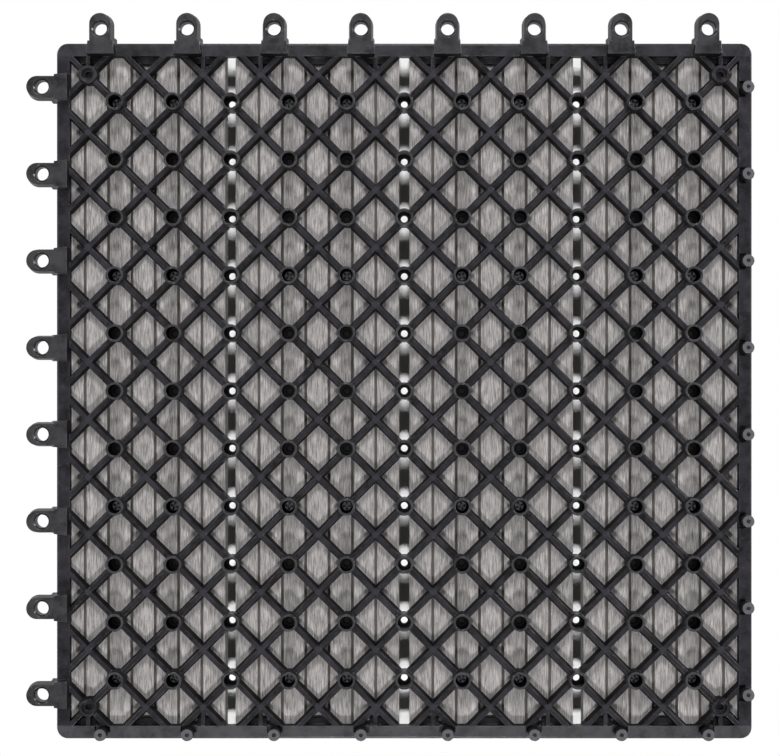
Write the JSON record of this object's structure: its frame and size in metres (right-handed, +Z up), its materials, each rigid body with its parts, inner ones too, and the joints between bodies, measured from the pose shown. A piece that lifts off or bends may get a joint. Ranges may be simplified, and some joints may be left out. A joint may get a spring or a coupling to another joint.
{
  "type": "interlocking deck tile",
  "caption": "Square outdoor deck tile: grooved grey boards screwed on a black moulded lattice base with round feet, joining rings on two sides and pins on the others.",
  "frame": {"origin": "in the plane of the feet, under the middle of the tile's square", "axes": "+Z up to the walking face, Y along the boards, rings on the +X and +Y sides, pins on the -X and -Y sides"},
  "size_m": [0.3149, 0.3149, 0.022],
  "materials": {
    "grid_plastic": "satin",
    "board": "matte",
    "screw": "satin"
  },
  "bodies": {
    "root": {"base_grid": "grid_plastic", "board_1": "board", "board_2": "board", "board_3": "board", "board_4": "board", "screws": "screw"}
  },
  "joints": []
}
